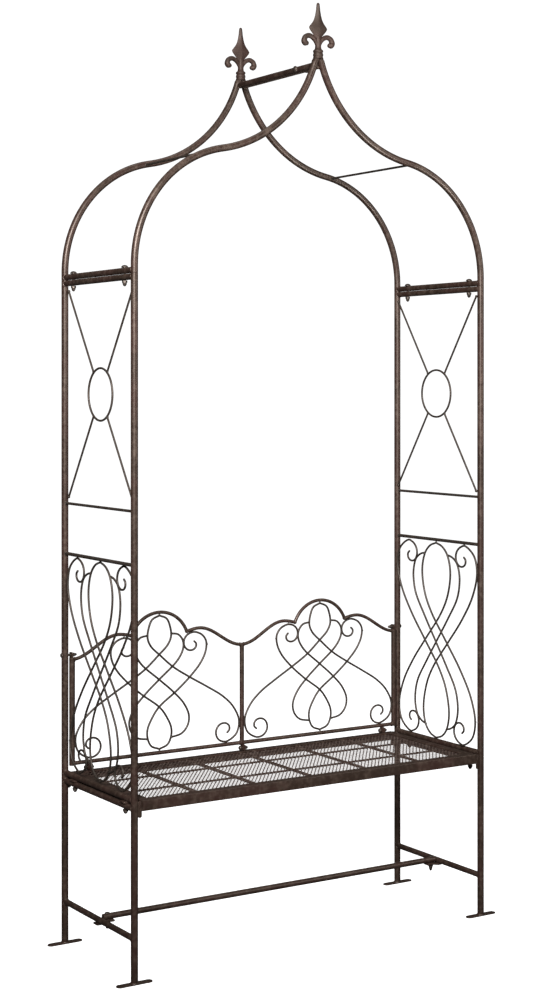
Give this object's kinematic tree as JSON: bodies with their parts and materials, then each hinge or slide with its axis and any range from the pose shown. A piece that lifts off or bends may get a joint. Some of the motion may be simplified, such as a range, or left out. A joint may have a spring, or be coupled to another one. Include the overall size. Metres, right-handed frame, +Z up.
{
  "type": "metal trellis arch",
  "caption": "Ogee-topped garden arch of round tube on four legs, with wire scrollwork sides, spearhead finials and a mesh bench seat with a scalloped scroll backrest.",
  "frame": {"origin": "on the ground, midway between the four legs", "axes": "+X to the right seen from the front, +Y from the front to the back, +Z up"},
  "size_m": [1.1306, 0.4, 2.3605],
  "materials": {
    "tube_paint": "dark bronze paint with a rubbed, slightly mottled satin surface",
    "wire_paint": "dark bronze paint, satin",
    "mesh_paint": "dark bronze paint, satin",
    "bolt_paint": "dark brown paint over a domed bolt and cap nut",
    "casting_paint": "dark bronze paint over a cast spearhead"
  },
  "bodies": {
    "root": {"arch_bolt_back_left": "bolt_paint", "arch_bolt_back_right": "bolt_paint", "arch_bolt_front_left": "bolt_paint", "arch_bolt_front_right": "bolt_paint", "arch_foot_rail_left": "tube_paint", "arch_foot_rail_right": "tube_paint", "arch_tie_rod_left": "wire_paint", "arch_tie_rod_right": "wire_paint", "arch_tube_back_left": "tube_paint", "arch_tube_back_right": "tube_paint", "arch_tube_front_left": "tube_paint", "arch_tube_front_right": "tube_paint", "backrest_foot_bolt_left": "bolt_paint", "backrest_foot_bolt_middle": "bolt_paint", "backrest_foot_bolt_right": "bolt_paint", "backrest_frame": "tube_paint", "backrest_scroll_left": "wire_paint", "backrest_scroll_right": "wire_paint", "backrest_top_bolt_left": "bolt_paint", "backrest_top_bolt_right": "bolt_paint", "finial_back": "casting_paint", "finial_front": "casting_paint", "leg_back_left": "tube_paint", "leg_back_right": "tube_paint", "leg_cross_rail_left": "tube_paint", "leg_cross_rail_right": "tube_paint", "leg_front_left": "tube_paint", "leg_front_right": "tube_paint", "leg_top_rail_left": "tube_paint", "leg_top_rail_right": "tube_paint", "panel_bottom_rail_left": "tube_paint", "panel_bottom_rail_right": "tube_paint", "panel_mid_bar_left": "wire_paint", "panel_mid_bar_right": "wire_paint", "panel_scroll_bar_left": "wire_paint", "panel_scroll_bar_right": "wire_paint", "panel_top_rail_left": "tube_paint", "panel_top_rail_right": "tube_paint", "post_back_left": "tube_paint", "post_back_right": "tube_paint", "post_front_left": "tube_paint", "post_front_right": "tube_paint", "ridge_bolt": "bolt_paint", "ridge_rail_left": "tube_paint", "ridge_rail_right": "tube_paint", "ring_and_cross_left": "wire_paint", "ring_and_cross_right": "wire_paint", "seat_bolt_back_left": "bolt_paint", "seat_bolt_back_right": "bolt_paint", "seat_bolt_front_left": "bolt_paint", "seat_bolt_front_right": "bolt_paint", "seat_frame": "tube_paint", "seat_mesh": "mesh_paint", "side_scroll_left": "wire_paint", "side_scroll_right": "wire_paint", "stretcher": "tube_paint", "stretcher_bolt_left": "bolt_paint", "stretcher_bolt_right": "bolt_paint"}
  },
  "joints": []
}
